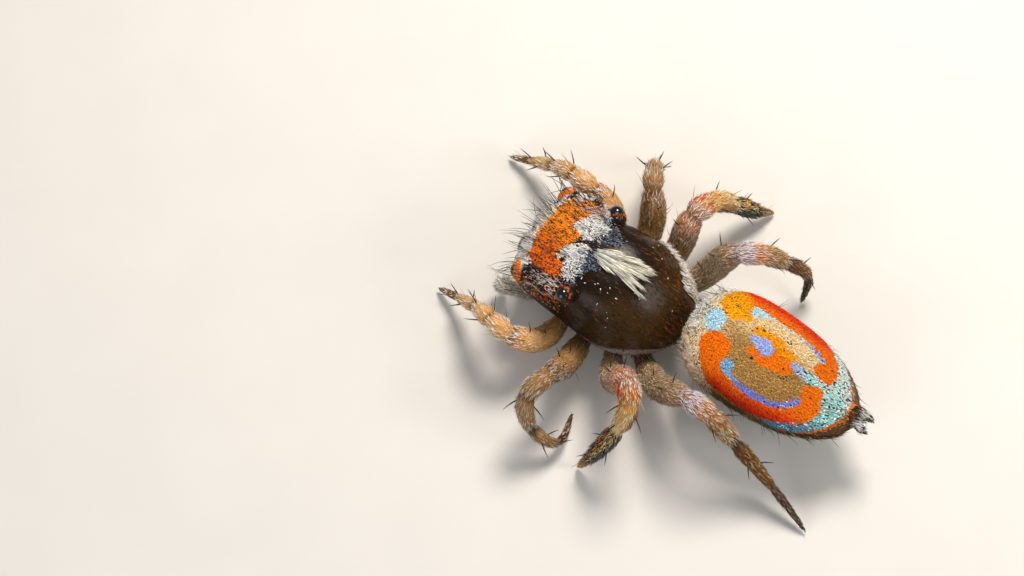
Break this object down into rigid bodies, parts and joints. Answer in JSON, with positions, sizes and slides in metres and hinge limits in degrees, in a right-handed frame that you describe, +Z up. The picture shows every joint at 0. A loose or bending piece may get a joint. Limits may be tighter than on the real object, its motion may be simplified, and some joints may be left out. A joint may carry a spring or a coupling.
{
  "type": "peacock spider, life-size still model",
  "caption": "Male peacock spider at life size: squarish head with round eyes, oval flat-topped abdomen, hairy spined legs set on small flat feet.",
  "frame": {"origin": "middle of the bounding box at the floor under the feet", "axes": "+Z up, -Y the way the head faces, +X the spider's left"},
  "size_m": [0.0044, 0.0058, 0.0016],
  "materials": {
    "carapace": "dark glossy cuticle under scales and hair",
    "underside": "satin cuticle with short hair",
    "abdomen": "fine matt scales in bright bands",
    "spinnerets": "dark cuticle with grey tufts",
    "chelicera": "satin dark brown cuticle",
    "palp": "white hair over brown cuticle",
    "eye": "glossy black lens",
    "leg": "brown cuticle with white, cream and orange hair"
  },
  "bodies": {
    "root": {"carapace": "carapace", "underside": "underside", "pedicel": "underside", "abdomen": "abdomen", "spinnerets": "spinnerets", "chelicera_left": "chelicera", "palp_left": "palp", "chelicera_right": "chelicera", "palp_right": "palp", "eye_front_left": "eye", "eye_front_right": "eye", "eye_side_left": "eye", "eye_side_right": "eye", "eye_small_left": "eye", "eye_small_right": "eye", "eye_rear_left": "eye", "eye_rear_right": "eye", "leg_left_1_femur": "leg", "leg_left_1_tibia": "leg", "leg_left_1_foot": "leg", "leg_left_2_femur": "leg", "leg_left_2_tibia": "leg", "leg_left_2_foot": "leg", "leg_left_3_femur": "leg", "leg_left_3_tibia": "leg", "leg_left_3_foot": "leg", "leg_left_4_femur": "leg", "leg_left_4_tibia": "leg", "leg_left_4_foot": "leg", "leg_right_1_femur": "leg", "leg_right_1_tibia": "leg", "leg_right_1_foot": "leg", "leg_right_2_femur": "leg", "leg_right_2_tibia": "leg", "leg_right_2_foot": "leg", "leg_right_3_femur": "leg", "leg_right_3_tibia": "leg", "leg_right_3_foot": "leg", "leg_right_4_femur": "leg", "leg_right_4_tibia": "leg", "leg_right_4_foot": "leg"}
  },
  "joints": []
}
